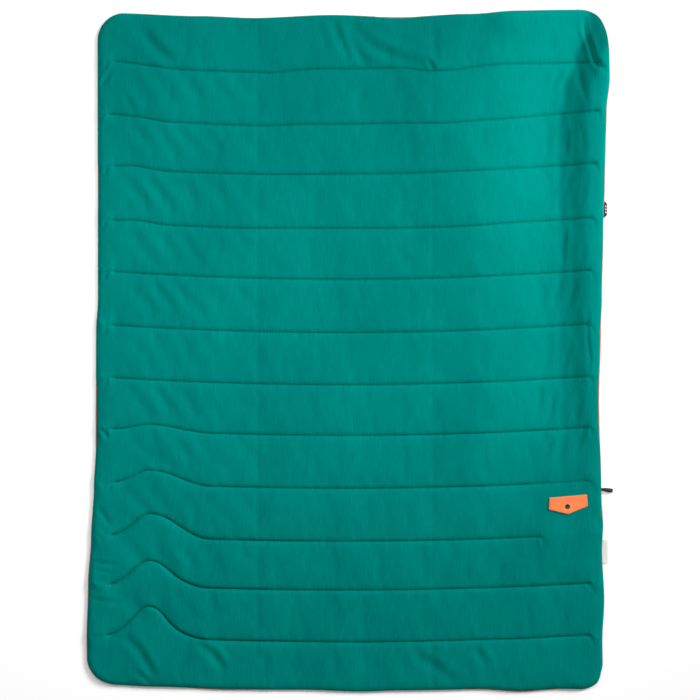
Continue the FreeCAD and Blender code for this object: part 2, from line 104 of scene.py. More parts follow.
class Shader:
    """A material's node tree, with short ways to add what the materials here share."""

    def __init__(self, name, roughness, specular=0.2, metallic=0.0, where="UV"):
        self.material = bpy.data.materials.new(name)
        self.material.use_nodes = True
        self.tree = self.material.node_tree
        self.surface = self.tree.nodes["Principled BSDF"]
        self.set("Roughness", roughness)
        self.set("Specular IOR Level", specular)
        self.set("Metallic", metallic)
        self.where = self.tree.nodes.new("ShaderNodeTexCoord").outputs[where]
        self.bump_normal = None

    def set(self, socket, value):
        self.surface.inputs[socket].default_value = value

    def node(self, kind, **inputs):
        made = self.tree.nodes.new(kind)
        for name, value in inputs.items():
            self.feed(made.inputs[int(name[1:]) if name[0] == "_" and name[1:].isdigit() else name], value)
        return made

    def feed(self, socket, value):
        """Links an output to a socket, or sets the socket to a constant."""
        if hasattr(value, "is_linked"):
            self.tree.links.new(value, socket)
        else:
            socket.default_value = value

    def stretched(self, x, y):
        """Texture places, in metres, multiplied by x and y."""
        return self.node("ShaderNodeMapping", Vector=self.where, Scale=(x, y, 1.0)).outputs["Vector"]

    def noise(self, x, y, detail=2.0, roughness=0.5):
        made = self.node(
            "ShaderNodeTexNoise", Vector=self.stretched(x, y), Scale=1.0, Detail=detail, Roughness=roughness
        )
        return made.outputs["Fac"]

    def wave(self, x, y, distortion=0.0):
        """Ribs whose number per metre is x or y."""
        turn = math.pi / 10  # the wave texture's own scale: one rib each 2 pi / 20
        made = self.node(
            "ShaderNodeTexWave",
            Vector=self.stretched(x * turn, y * turn),
            Scale=1.0,
            Distortion=distortion,
            Detail=1.0,
        )
        made.bands_direction = "X" if x else "Y"
        return made.outputs["Fac"]

    def math(self, how, a, b):
        made = self.node("ShaderNodeMath", _0=a, _1=b)
        made.operation = how
        return made.outputs[0]

    def add_parts(self, *parts):
        """The sum of (value, share) parts."""
        total = 0.0
        for value, share in parts:
            made = self.node("ShaderNodeMath", _0=value, _1=share, _2=total)
            made.operation = "MULTIPLY_ADD"
            total = made.outputs[0]
        return total

    def mix(self, share, a, b):
        made = self.tree.nodes.new("ShaderNodeMix")
        made.data_type = "RGBA"
        made.clamp_factor = False
        for socket, value in zip((made.inputs[0], made.inputs[6], made.inputs[7]), (share, a, b)):
            self.feed(socket, value)
        return made.outputs[2]

    def ramp(self, value, low, high):
        made = self.node("ShaderNodeMapRange", Value=value)
        made.inputs["From Min"].default_value = low
        made.inputs["From Max"].default_value = high
        return made.outputs["Result"]

    def colour(self, value):
        self.tree.links.new(value, self.surface.inputs["Base Color"])

    def bump(self, height, distance, strength=1.0):
        """Adds a bump of this height, in metres, on top of those before it."""
        made = self.node("ShaderNodeBump", Height=height, Distance=distance, Strength=strength)
        if self.bump_normal:
            self.tree.links.new(self.bump_normal, made.inputs["Normal"])
        self.bump_normal = made.outputs["Normal"]
        self.tree.links.new(self.bump_normal, self.surface.inputs["Normal"])


def rgb(red, green, blue, times=1.0):
    """A display colour from 0 to 255 as the linear colour that a shader takes."""
    def linear(value):
        value /= 255
        return value / 12.92 if value <= 0.04045 else ((value + 0.055) / 1.055) ** 2.4
    return tuple(linear(value) * times for value in (red, green, blue)) + (1.0,)


def knit_face():
    """Brushed knit: fine ribs down the blanket under a short, uneven nap, with painted light and shade from a
    mesh attribute.
    """
    shader = Shader("knit_face", roughness=1.0, specular=0.0)
    shader.set("Sheen Weight", 0.2)
    shader.set("Sheen Roughness", 0.45)
    shader.set("Sheen Tint", rgb(0, 200, 182))
    deep, bright = rgb(0, 106, 99, 0.82), rgb(0, 140, 131, 0.94)
    nap_and_painted_shade = shader.ramp(shader.noise(7, 2.2, detail=3), 0.3, 0.7)
    streaks = shader.ramp(shader.noise(300, 34, detail=3), 0.3, 0.7)
    fuzz = shader.ramp(shader.noise(420, 380, detail=4, roughness=0.6), 0.3, 0.7)
    ribs = shader.ramp(shader.noise(250, 16, detail=2), 0.35, 0.65)
    # painted light and shade: a mesh attribute lightens the knit on the slopes beside the long valley and
    # darkens it in the valley and along the seams
    painted_shade_attribute = shader.node("ShaderNodeAttribute")
    painted_shade_attribute.attribute_name = "nap_and_painted_shade"
    parts = [(nap_and_painted_shade, 0.27), (streaks, 0.22), (fuzz, 0.38), (ribs, 0.13), (painted_shade_attribute.outputs["Fac"], 0.28)]
    shader.colour(shader.mix(shader.add_parts(*parts), deep, bright))
    shader.bump(shader.wave(480, 0), 0.25 * MM, 0.5)
    shader.bump(fuzz, 0.5 * MM, 0.6)
    shader.bump(streaks, 0.3 * MM, 0.4)
    return shader.material


def weave(name, dark, light, threads=900, sheen=0.2, roughness=0.8):
    """Plain woven cloth: two sets of threads, crossed."""
    shader = Shader(name, roughness=roughness, specular=0.15)
    shader.set("Sheen Weight", sheen)
    shader.set("Sheen Roughness", 0.4)
    shader.set("Sheen Tint", light)
    across, along = shader.wave(threads, 0, 0.3), shader.wave(0, threads, 0.3)
    crossed = shader.math("MULTIPLY", across, along)
    patchy = shader.ramp(shader.noise(9, 7, detail=3), 0.3, 0.7)
    shader.colour(shader.mix(shader.add_parts((crossed, 0.45), (patchy, 0.4)), dark, light))
    shader.bump(crossed, 0.25 * MM, 0.6)
    shader.bump(patchy, 0.4 * MM, 0.3)
    return shader.material


def fluff():
    shader = Shader("batting", roughness=1.0, specular=0.05)
    tufts = shader.ramp(shader.noise(160, 120, detail=5, roughness=0.7), 0.3, 0.7)
    shader.colour(shader.mix(tufts, rgb(206, 206, 200), rgb(238, 238, 234)))
    shader.bump(tufts, 1.2 * MM, 0.8)
    return shader.material


def twisted(name, dark, light, plies=1600):
    """Thread, or tape ribbed across its length."""
    shader = Shader(name, roughness=0.55, specular=0.35)
    ribs = shader.wave(plies, 0, 0.4)
    fuzz = shader.ramp(shader.noise(900, 900, detail=3), 0.3, 0.7)
    shader.colour(shader.mix(shader.add_parts((ribs, 0.6), (fuzz, 0.4)), dark, light))
    shader.bump(ribs, 0.2 * MM, 0.6)
    return shader.material


def moulded():
    shader = Shader("snap_plastic", roughness=0.38, specular=0.5, where="Object")
    mottle = shader.ramp(shader.noise(400, 400, detail=4), 0.35, 0.65)
    shader.colour(shader.mix(mottle, rgb(20, 18, 22), rgb(36, 33, 38)))
    shader.bump(mottle, 0.05 * MM, 0.4)
    return shader.material


KNIT = knit_face()
WOVEN = weave("woven_back", rgb(0, 84, 76), rgb(6, 120, 108), sheen=0.3, roughness=0.6)
LINING = weave("pocket_lining", rgb(0, 66, 62), rgb(0, 96, 88))
FLUFF = fluff()
PIPING = weave("piping", rgb(214, 96, 50), rgb(252, 140, 84))
FLAP_CLOTH = weave("flap_cloth", rgb(246, 116, 66), rgb(255, 158, 98), threads=700)
GREEN_THREAD = twisted("quilting_thread", rgb(0, 84, 78), rgb(0, 122, 112))
ORANGE_THREAD = twisted("orange_thread", rgb(214, 88, 36), rgb(250, 128, 66))
BLACK_THREAD = twisted("black_thread", rgb(18, 16, 20), rgb(46, 43, 50))
WEBBING = twisted("webbing", rgb(20, 18, 22), rgb(54, 50, 58), plies=700)
PLASTIC = moulded()
CARE = weave("care_label", rgb(226, 226, 222), rgb(246, 246, 244), threads=1400)

# ------------------------------------------------------------------ meshes


def new_object(name, mesh):
    thing = bpy.data.objects.new(name, mesh)
    bpy.context.scene.collection.objects.link(thing)
    return thing


def make_mesh(name, points, faces, material, places=None):
    """An object from points and faces. Places are what the textures read, in metres: x and y if left out."""
    mesh = bpy.data.meshes.new(name)
    points = np.asarray(points, float)
    mesh.from_pydata(points.tolist(), [], [list(map(int, face)) for face in faces])
    places = points[:, :2] if places is None else np.asarray(places, float)
    loops = np.zeros(len(mesh.loops), int)
    mesh.loops.foreach_get("vertex_index", loops)
    layer = mesh.uv_layers.new(name="metres")
    layer.data.foreach_set("uv", places[loops].ravel())
    mesh.materials.append(material)
    mesh.polygons.foreach_set("use_smooth", [True] * len(mesh.polygons))
    mesh.update()
    return new_object(name, mesh)


def grid_faces(rows, columns, closed=False, looped=False):
    """Quads between rows of points. Closed joins each row's ends, and looped the last row to the first."""
    down, across = np.arange(rows if looped else rows - 1), np.arange(columns if closed else columns - 1)
    r, c = np.meshgrid(down, across, indexing="ij")
    below, beside = (r + 1) % rows, (c + 1) % columns
    corners = [r * columns + c, r * columns + beside, below * columns + beside, below * columns + c]
    return np.stack(corners, axis=-1).reshape(-1, 4)


def along_path(path):
    """How far along a line of points each one is."""
    return np.concatenate([[0], np.cumsum(np.linalg.norm(np.diff(path, axis=0), axis=1))])


def spaced(path, step):
    """The same line with its points about a step apart."""
    path = np.asarray(path, float)
    places = along_path(path)
    at = np.linspace(0, places[-1], max(2, round(places[-1] / step) + 1))
    return np.stack([np.interp(at, places, part) for part in path.T], axis=1)


def smooth(t):
    t = np.clip(t, 0, 1)
    return t * t * (3 - 2 * t)


def eased(knots, at):
    """A smooth line through (place, value) knots, level at each knot."""
    places, values = np.array(knots, float).T
    at = np.clip(at, places[0], places[-1])
    i = np.clip(np.searchsorted(places, at, side="right") - 1, 0, len(places) - 2)
    t = smooth((at - places[i]) / (places[i + 1] - places[i]))
    return values[i] + (values[i + 1] - values[i]) * t


# ------------------------------------------------------------------ the blanket's outline and its rows, in mm

ROWS = 12
ROW_MIDDLE = [763, 618, 478, 335, 194, 50, -91, -228, -371, -514, -646, -785]
LEFT_BOW = np.linspace(25, 15, ROWS)  # how much higher each row is at its end than in its middle
RIGHT_BOW = np.linspace(28, 17, ROWS)
LEFT_ENDS = [-648, -662, -648, -652, -650, -648, -648, -648, -636, -637, -638, -641]
RIGHT_ENDS = [668, 674, 668, 660, 657, 655, 655, 655, 653, 524, 655, 655]
HUMPS = {8: 17, 9: 37, 10: 63, 11: 69, 12: 85}
HUMP_FOOT, HUMP_PEAK, HUMP_TAIL = -646, -534, -388
HUMP_SLACK = {8: 0.85, 9: 0.8, 10: 0.75, 11: 0.5, 12: 0.4}  # how gently each hump falls to its tail

# How far each side of the blanket lies outside the nominal edge, as (place along the side, distance).
LEFT_EDGE = [
    (-915, 19), (-780, 21), (-630, 17), (-500, 9), (-370, 1), (-267, -4), (58, -5), (140, -10), (915, -9),
]
RIGHT_EDGE = [
    (-915, 20), (-860, 6), (-782, 5), (-673, 10), (-538, 4), (-470, 7), (-375, 2), (-131, -4), (58, 1),
    (140, 4), (330, 8), (465, 12), (546, 14), (654, 17), (736, 25), (800, 24), (870, 17), (915, 21),
]
TOP_EDGE = [
    (-640, 2), (-400, -6), (-253, -11), (-40, -3), (137, -9), (332, 0), (462, 9), (576, 11), (670, 12),
]
BOTTOM_EDGE = [
    (-640, -12), (-514, -6), (-318, 2), (-129, 2), (40, 7), (142, 4), (359, 1), (467, 7), (576, 0), (670, 2),
]
# Where the upper rows leave their plain bow, as (place across, how much higher).
ROW_BENDS = {
    1: [
        (-640, -4), (-427, -13), (-218, -12), (-87, 0), (142, 3), (229, -8), (267, -9), (391, -1), (665, -12),
    ],
    2: [
        (-650, -2), (-572, -3), (-484, -12), (-261, -12), (-91, -5), (142, -3), (267, -6), (391, -3),
        (597, 3),
    ],
    3: [(-632, 0), (-590, 4), (-484, -5), (-240, -3), (0, 1), (578, 3)],
    4: [(-640, -3), (-577, 1), (-484, -7), (-313, -7), (-91, -3), (308, -4), (473, 0)],
}
EDGE_REACH = 0.2  # the outline's waves die out this far into the blanket

# Where the piping shows past the face, as (side, from, to, share) along that side.
PIPING_SHOWS = [
    ("left", 380, 520, 0.5), ("left", -275, -75, 1), ("left", -900, -420, 0.6), ("right", -260, 90, 1),
    ("right", 60, 740, 0.5), ("right", -460, -400, 1), ("top", 70, 200, 1), ("bottom", -450, -235, 1),
    ("bottom", 300, 580, 1),
]


def row_height(row, x):
    """Where a quilting row crosses x. Rows 0 and 13 are the two ends of the blanket."""
    if row == 0:
        return np.full_like(x, HALF_LENGTH)
    if row > ROWS:
        return np.full_like(x, -HALF_LENGTH)
    i = row - 1
    bow = np.where(x < 0, LEFT_BOW[i], RIGHT_BOW[i]) * (x / (640 * MM)) ** 2
    y = (ROW_MIDDLE[i] + bow) * MM
    if row in ROW_BENDS:
        y = y + eased(ROW_BENDS[row], x / MM) * MM
    if row in HUMPS:
        rise = smooth((x / MM - HUMP_FOOT) / (HUMP_PEAK - HUMP_FOOT)) ** 1.4
        t = (x / MM - HUMP_PEAK) / (HUMP_TAIL - HUMP_PEAK)
        bend = 0.15  # the fall turns into the level row over this share of it on each side
        past = np.clip(1 + bend - t, 0, 2 * bend)
        away = np.clip(t, 0, 1 - bend) + (4 * bend**2 - past**2) / (4 * bend)
        fall, last = (1 / (1 + (t / HUMP_SLACK[row]) ** 2.4) for t in (away, 1.0))
        y = y + HUMPS[row] * MM * rise * (fall - last) / (1 - last)
    return y


def row_strength(row, x):
    """1 where the row is stitched and 0 past its ends."""
    if row in (0, ROWS + 1):
        return np.zeros_like(x)
    fade = 14
    return smooth((x / MM - LEFT_ENDS[row - 1]) / fade) * smooth((RIGHT_ENDS[row - 1] - x / MM) / fade)


def clustered(count):
    """Fractions from 0 to 1, closer together at both ends."""
    pull = 0.75
    t = np.linspace(0, 1, count + 1)
    return (1 - pull) * t + pull * (0.5 - 0.5 * np.cos(math.pi * t))


def columns_across(spacing, rim_spacing):
    """Places across the blanket, closer together near its sides, with one on the middle line."""
    rim = 24 * MM
    inner = np.linspace(0, HALF_WIDTH - rim, round((HALF_WIDTH - rim) / spacing) + 1)
    outer = np.linspace(HALF_WIDTH - rim, HALF_WIDTH, round(rim / rim_spacing) + 1)
    half = np.concatenate([inner, outer[1:]])
    return np.concatenate([-half[:0:-1], half])


class Sheet:
    """The blanket's grid of points: their places, and how far each is from the edge and the nearest rows."""

    def __init__(self, spacing, rim_spacing, per_channel):
        x = columns_across(spacing, rim_spacing)
        share = clustered(per_channel)
        flat_x, flat_y, near, far, strength = [], [], [], [], []
        for channel in range(ROWS + 1):
            upper, lower = row_height(channel, x), row_height(channel + 1, x)
            step = share if channel == ROWS else share[:-1]
            f = step[:, None]
            flat_x.append(np.broadcast_to(x, (len(step), len(x))))
            flat_y.append(upper + (lower - upper) * f)
            slope = [1 / np.hypot(1, np.gradient(y, x)) for y in (upper, lower)]
            near.append((upper - lower) * f * slope[0])
            far.append((upper - lower) * (1 - f) * slope[1])
            strength.append([row_strength(channel, x), row_strength(channel + 1, x)])
        self.across = x
        self.down = np.append((np.arange(ROWS + 1)[:, None] + share[:-1]).ravel(), ROWS + 1)
        self.seam_rows = [channel * per_channel for channel in range(1, ROWS + 1)]
        counts = [len(part) for part in flat_y]
        self.x, self.y = np.concatenate(flat_x), np.concatenate(flat_y)
        self.above, self.below = np.concatenate(near), np.concatenate(far)
        self.pull_above = np.repeat([pair[0] for pair in strength], counts, axis=0)
        self.pull_below = np.repeat([pair[1] for pair in strength], counts, axis=0)
        self.round_corners()
        self.shift_edges()

    def round_corners(self):
        """Turns the rectangle's corners into arcs, and measures each point's distance from the edge."""
        inner_x, inner_y = HALF_WIDTH - CORNER, HALF_LENGTH - CORNER
        a = np.clip((np.abs(self.x) - inner_x) / CORNER, 0, 1)
        b = np.clip((np.abs(self.y) - inner_y) / CORNER, 0, 1)
        self.flat_x, self.flat_y = self.x, self.y
        corner = (a > 0) & (b > 0)
        new_a, new_b = a * np.sqrt(1 - b * b / 2), b * np.sqrt(1 - a * a / 2)
        self.x = np.where(corner, np.sign(self.x) * (inner_x + CORNER * new_a), self.x)
        self.y = np.where(corner, np.sign(self.y) * (inner_y + CORNER * new_b), self.y)
        straight = np.minimum(HALF_WIDTH - np.abs(self.flat_x), HALF_LENGTH - np.abs(self.flat_y))
        self.edge = np.where(corner, CORNER * (1 - np.hypot(new_a, new_b)), straight)

    def shift_edges(self):
        """Moves the sides out and in, as the real cloth's wavy edge."""
        x, y = self.x, self.y
        reach = [smooth(1 - (HALF_WIDTH - side * x) / EDGE_REACH) for side in (-1, 1)]
        ends = [smooth(1 - (HALF_LENGTH - side * y) / EDGE_REACH) for side in (-1, 1)]
        left, right = eased(LEFT_EDGE, y / MM) * MM, eased(RIGHT_EDGE, y / MM) * MM
        bottom, top = eased(BOTTOM_EDGE, x / MM) * MM, eased(TOP_EDGE, x / MM) * MM
        self.x = x - left * reach[0] + right * reach[1]
        self.y = y - bottom * ends[0] + top * ends[1]
        self.shown = piping_shown(x, y)

    def inward(self):
        """Unit vectors that point in from the edge, for points near it."""
        a = np.clip((np.abs(self.flat_x) - (HALF_WIDTH - CORNER)) / CORNER, 0, 1)
        b = np.clip((np.abs(self.flat_y) - (HALF_LENGTH - CORNER)) / CORNER, 0, 1)
        size = np.maximum(np.hypot(a, b), 1e-9)
        return -np.sign(self.flat_x) * a / size, -np.sign(self.flat_y) * b / size

    def half(self, side):
        """The columns on one side of the middle line, which both halves share."""
        middle = self.x.shape[1] // 2
        return slice(0, middle + 1) if side < 0 else slice(middle, None)


def piping_shown(x, y):
    """From 0, where the face covers the piping, to 1, where it shows."""
    shown = np.zeros_like(x)
    fade, band = 30, 100 * MM
    for side, start, end, share in PIPING_SHOWS:
        upright = side in ("left", "right")
        sign = -1 if side in ("left", "bottom") else 1
        along, out = (y, x) if upright else (x, y)
        half = HALF_WIDTH if upright else HALF_LENGTH
        beside = sign * out > half - band
        part = smooth((along / MM - start) / fade) * smooth((end - along / MM) / fade)
        wave = 0.75 + 0.25 * np.sin(along / MM / 17) * np.sin(along / MM / 7.3 + 1)
        shown = np.maximum(shown, share * beside * part * wave)
    return shown


# ------------------------------------------------------------------ the face's relief

POCKET_TURN = math.radians(5)
mouth_low, mouth_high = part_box("pocket_mouth_facing")
POCKET = (mouth_low + mouth_high) / 2
MOUTH_U, MOUTH_V = 46 * MM, 4 * MM  # half the mouth's length and width
FACE_RIM = 4 * MM  # the face's height where it meets the piping
ROLL = 20 * MM  # how far in from the edge the face rolls down
PLATEAU = 14.6 * MM
PILLOW = 2.0 * MM

# The long valley beside the right-hand side: where it runs, how deep it is there, and its section.
VALLEY_X = [(-700, 600), (-250, 592), (0, 586), (615, 585), (700, 596), (790, 624), (880, 665)]
VALLEY_DEPTH = [(-560, 0), (-300, 0.6), (-60, 1), (690, 1), (850, 0.1)]
VALLEY_SECTION = [(-420, 0), (-215, 7.5), (-30, -4), (-8, -5), (16, -4), (58, 5), (90, 4)]
# Painted light and shade across the valley and along it: above 0 the knit is painted lighter, below 0 darker.
PAINTED_SHADE_SECTION = [
    (-420, 0), (-290, 0.4), (-187, 1.3), (-70, 1.7), (-22, 1.5), (2, -0.4), (50, -0.3), (75, 0.9), (105, 1.7),
]
# how strong the painted light and shade is along the valley, by place down the blanket in mm
PAINTED_SHADE_DEPTH = [(-560, 0), (-300, 0.3), (-60, 0.6), (200, 0.8), (500, 1.3), (915, 1.8)]
PAINTED_SEAM_SHADE_REACH = 1.5 * MM  # how far from a row the painted shade along its seam reaches

# Folds and rucks: points from end to end in mm, width and depth in mm, and which side is the higher one.
FOLDS = [
    # the corner beside the side label
    ([(639, 906), (644, 864), (660, 817), (665, 794), (679, 773), (704, 757)], 7, 6.5, -1),
    ([(622, 800), (628, 745), (640, 690)], 14, 2.4, 1),
    # the head end
    ([(7, 884), (53, 831), (123, 799), (194, 775), (236, 764)], 15, 3.2, 1),
    ([(214, 792), (236, 762)], 6, 2.6, 1),
    ([(-4, 860), (34, 799), (60, 768)], 13, 2.2, 1),
    ([(-44, 898), (-20, 840), (8, 786)], 12, 2.6, 1),
    ([(-572, 872), (-520, 822), (-462, 771)], 16, 2.8, 1),
    ([(242, 880), (233, 772)], 9, 0.9, 1),
    ([(330, 900), (420, 850), (560, 840)], 30, 1.6, 1),
    # the left side
    ([(-632, 768), (-668, 716)], 7, 2.2, -1),
    ([(-604, 704), (-594, 680), (-574, 640)], 9, 1.1, 1),
    ([(-672, -203), (-644, -236)], 6, 1.6, 1),
    ([(-690, -256), (-648, -249)], 5, 1.2, 1),
    ([(-692, -570), (-616, -576)], 5, 1.8, 1),
    ([(-682, -592), (-630, -598)], 4, 1.3, 1),
    ([(-700, -668), (-606, -680)], 6, 1.5, 1),
    ([(-676, -420), (-640, -470)], 8, 1.4, 1),
    # the foot end
    ([(-604, -766), (-560, -812), (-520, -884)], 12, 2.6, 1),
    ([(-572, -862), (-530, -900)], 8, 1.8, 1),
    ([(-416, -784), (-372, -812), (-328, -864)], 12, 2.2, 1),
    ([(166, -812), (230, -848), (300, -900)], 14, 1.8, 1),
    ([(340, -800), (380, -850)], 12, 1.3, 1),
    # down the long valley, channel by channel
    ([(649, 118), (649, 28), (655, -20), (648, -62)], 5, 2.8, 1),
    ([(620, 775), (649, 659)], 7, 1.8, 1),
    ([(579, 766), (547, 705)], 8, 1.2, 1),
    ([(660, 758), (673, 710)], 8, 1.2, 1),
    ([(593, 611), (591, 519)], 6, 1.8, 1),
    ([(634, 611), (637, 519)], 9, 1.6, 1),
    ([(545, 596), (537, 524)], 8, 0.8, 1),
    ([(600, 490), (590, 413)], 8, 1.2, 1),
    ([(647, 495), (632, 396)], 8, 1.6, 1),
    ([(590, 346), (580, 232)], 6, 2.0, 1),
    ([(641, 299), (630, 232)], 9, 1.6, 1),
    ([(577, 208), (552, 111)], 9, 1.6, 1),
    ([(621, 202), (586, 91)], 9, 1.6, 1),
    ([(607, 35), (579, -55)], 8, 1.3, 1),
    ([(551, 14), (524, -61)], 10, 1.0, 1),
    ([(527, -89), (513, -159)], 8, 1.2, 1),
    ([(565, -89), (541, -186)], 9, 1.2, 1),
    ([(631, -103), (614, -193)], 10, 1.6, 1),
    ([(658, -159), (641, -207), (614, -283)], 7, 1.8, 1),
    ([(589, -221), (562, -317)], 11, 1.6, 1),
]
FOLD_DEPTH = 1.6 * MM  # how deep a fold of depth 1 is
PACKED = (-243, 229)  # two faint lengthwise creases near the folds, across the blanket in mm
PACKED_DEPTH, PACKED_WIDTH = 0.7 * MM, 5 * MM


def pocket_frame(x, y):
    """Places along the pocket's mouth and across it."""
    dx, dy = x - POCKET.x, y - POCKET.y
    c, s = math.cos(POCKET_TURN), math.sin(POCKET_TURN)
    return dx * c + dy * s, dy * c - dx * s


def on_pocket(u, v, z):
    """Places in the frame from places along the pocket's mouth, across it and up."""
    u, v, z = np.broadcast_arrays(*(np.asarray(part, float) for part in (u, v, z)))
    c, s = math.cos(POCKET_TURN), math.sin(POCKET_TURN)
    return np.stack([POCKET.x + u * c - v * s, POCKET.y + u * s + v * c, z], axis=-1)


def crease(x, y, line, width, depth, higher):
    """A fold along a line of points: a valley with a softer ridge on each side, fading at both ends."""
    line = np.array(line, float) * MM
    best = np.full(x.shape, 1e9)
    side = np.zeros(x.shape)
    place = np.zeros(x.shape)
    lengths = np.hypot(*np.diff(line, axis=0).T)
    total, before = lengths.sum(), 0.0
    for (x0, y0), (x1, y1), length in zip(line[:-1], line[1:], lengths):
        dx, dy = (x1 - x0) / length, (y1 - y0) / length
        t = np.clip((x - x0) * dx + (y - y0) * dy, 0, length)
        gap = np.hypot(x - x0 - t * dx, y - y0 - t * dy)
        closer = gap < best
        best = np.where(closer, gap, best)
        side = np.where(closer, np.sign((y - y0) * dx - (x - x0) * dy), side)
        place = np.where(closer, before + t, place)
        before += length
    u = best / (width * MM)
    fade = np.sin(math.pi * np.clip(place / total, 0, 1)) ** 0.7
    ridge = np.where(side * higher > 0, 0.6, 0.25) * np.exp(-((u - 1.7) ** 2))
    return depth * FOLD_DEPTH * fade * (ridge - np.exp(-u * u))


def drag_lines():
    """The long soft folds that run down and away from the left-hand ends of the rows."""
    random = np.random.default_rng(11)
    lines = []
    for row in range(1, ROWS):
        for start, share in ((-596, 1), (-540, 0.9), (-476, 0.75), (-400, 0.5), (-320, 0.4)):
            x0 = start + random.uniform(-12, 12)
            y0 = ROW_MIDDLE[row - 1] + 6 - random.uniform(0, 12)
            length = random.uniform(84, 112)
            lean = random.uniform(0.8, 1.05)
            half_way = (x0 + 0.5 * lean * length, y0 - 0.5 * length)
            ahead = [(x0, y0), half_way, (x0 + lean * length, y0 - length)]
            strength = random.uniform(0.9, 1.6) * (1.2 if row < 6 else 0.9)
            lines.append((ahead, random.uniform(15, 22), strength * share, 1))
    return lines


def end_hooks():
    """The small pucker where the stitching of each row starts and stops."""
    lines = []
    for row in range(1, ROWS + 1):
        for x, out, depth in ((LEFT_ENDS[row - 1], -1, 1.4), (RIGHT_ENDS[row - 1], 1, 1.1)):
            y = float(row_height(row, np.float64(x * MM))) / MM
            hook = [(x - 14 * out, y + 3), (x + 2 * out, y - 4), (x + 8 * out, y - 26)]
            lines.append((hook, 5, depth, -out))
    return lines


def valley(x, y, section, depth):
    """The value of a section across the long valley, at each point, times its depth there."""
    across = x / MM - eased(VALLEY_X, y / MM)
    return eased(section, across) * eased(depth, y / MM)


def ripples(x, y, seed, count, longest, shortest, height):
    """A sum of soft waves in seeded directions."""
    random = np.random.default_rng(seed)
    total = np.zeros_like(x)
    for _ in range(count):
        angle = random.uniform(0, math.pi)
        length = shortest * (longest / shortest) ** random.uniform()
        phase = random.uniform(0, 2 * math.pi)
        total += np.sin((x * math.cos(angle) + y * math.sin(angle)) * 2 * math.pi / length + phase)
    return total * height / math.sqrt(count)


def seam_dip(distance, pull):
    """How far the stitching pulls the face down, at a distance from the row."""
    return pull * (3.8 * MM * np.exp(-distance / (3.4 * MM)) + 1.1 * MM * np.exp(-distance / (17 * MM)))


def tightness(x, y):
    """How much tighter the rows are sewn than elsewhere: they are in the lower left part."""
    return 1 + 0.45 * smooth((-40 * MM - x) / (200 * MM)) * smooth((-330 * MM - y) / (150 * MM))


def face_height(sheet, swelling=0.0):
    """The face's height. Swelling is how much higher the simulated cloth makes each point."""
    x, y = sheet.x, sheet.y
    across = sheet.above / (sheet.above + sheet.below)
    pull = sheet.pull_above * (1 - across) + sheet.pull_below * across
    swell = PILLOW * (1 - (1 - np.sqrt(np.clip(4 * across * (1 - across), 0, 1))) * pull)
    z = PLATEAU + swell
    z -= (seam_dip(sheet.above, sheet.pull_above) + seam_dip(sheet.below, sheet.pull_below)) * tightness(x, y)
    z += ripples(x, y, 3, 14, 0.45, 0.16, 0.5 * MM)
    z += valley(x, y, VALLEY_SECTION, VALLEY_DEPTH) * MM + swelling
    for fold in FOLDS + drag_lines() + end_hooks():
        z += crease(x, y, *fold)
    for fold in PACKED:
        z -= PACKED_DEPTH * np.exp(-((x - fold * MM) / PACKED_WIDTH) ** 2)
    u, v = pocket_frame(x, y)
    flat = smooth(1.7 - np.hypot(u / (90 * MM), (v + 12 * MM) / (52 * MM)))
    z = z + (TOP - z) * flat
    rolled = np.clip(sheet.edge / ROLL, 0, 1)
    return FACE_RIM + (z - FACE_RIM) * np.sqrt(1 - (1 - rolled) ** 2)


# ------------------------------------------------------------------ how the face swells between its seams


SWELL_PRESSURE = 4.0
SWELL_SLACK = 0.02  # how much longer the cloth is than the space it covers
SWELL_FRAMES = 20
SWELL_CAP = 4.5 * MM
SWELL_SHARE = 0.6


def swell_as_cloth(sheet):
    """Swells a coarse copy of the face as cloth that is held at its seams, and gives each point's rise."""
    start = np.stack([sheet.x, sheet.y, 0.5 * face_height(sheet)], axis=-1)
    faces = grid_faces(*sheet.x.shape)[:, ::-1]
    cloth = make_mesh("swelling_face", start.reshape(-1, 3), faces, KNIT)
    held = np.zeros(sheet.x.shape)
    for number, row in enumerate(sheet.seam_rows, start=1):
        held[row] = row_strength(number, sheet.x[row])
    held[[0, -1]], held[:, [0, -1]] = 1, 1
    sewn = cloth.vertex_groups.new(name="sewn")
    for index in np.flatnonzero(held > 0.5):
        sewn.add([int(index)], 1.0, "REPLACE")
    modifier = cloth.modifiers.new("cloth", "CLOTH")
    modifier.settings.vertex_group_mass = "sewn"
    modifier.settings.effector_weights.gravity = 0
    modifier.settings.quality = 4
    modifier.settings.mass = 0.3
    modifier.settings.use_pressure = True
    modifier.settings.uniform_pressure_force = SWELL_PRESSURE
    modifier.settings.shrink_min = -SWELL_SLACK
    modifier.settings.tension_stiffness = modifier.settings.compression_stiffness = 12
    modifier.settings.bending_stiffness = 0.4
    modifier.settings.air_damping = 4
    modifier.point_cache.frame_start, modifier.point_cache.frame_end = 1, SWELL_FRAMES
    for frame_number in range(1, SWELL_FRAMES + 1):
        bpy.context.scene.frame_set(frame_number)
    swollen = cloth.evaluated_get(bpy.context.evaluated_depsgraph_get()).data
    places = np.zeros(len(swollen.vertices) * 3)
    swollen.vertices.foreach_get("co", places)
    bpy.data.objects.remove(cloth)
    bpy.context.scene.frame_set(1)
    rise = (places.reshape(start.shape) - start)[..., 2]
    return np.clip(rise - np.median(rise, axis=1, keepdims=True), -SWELL_CAP, SWELL_CAP) * SWELL_SHARE


def smoothed(values, times):
    """Each value averaged with its neighbours, this many times."""
    for _ in range(times):
        for axis in (0, 1):
            ends = [(1, 1) if axis == k else (0, 0) for k in (0, 1)]
            wide = np.pad(values, ends, mode="edge")
            before, after = (wide[:-2], wide[2:]) if axis == 0 else (wide[:, :-2], wide[:, 2:])
            values = (before + 2 * values + after) / 4
    return values


def onto(values, coarse, fine):
    """Values at a coarse sheet's points, carried over to the points of a finer one."""
    wide = np.stack([np.interp(fine.across, coarse.across, row) for row in values])
    tall = np.stack([np.interp(fine.down, coarse.down, column) for column in wide.T], axis=1)
    return smoothed(tall, 3)


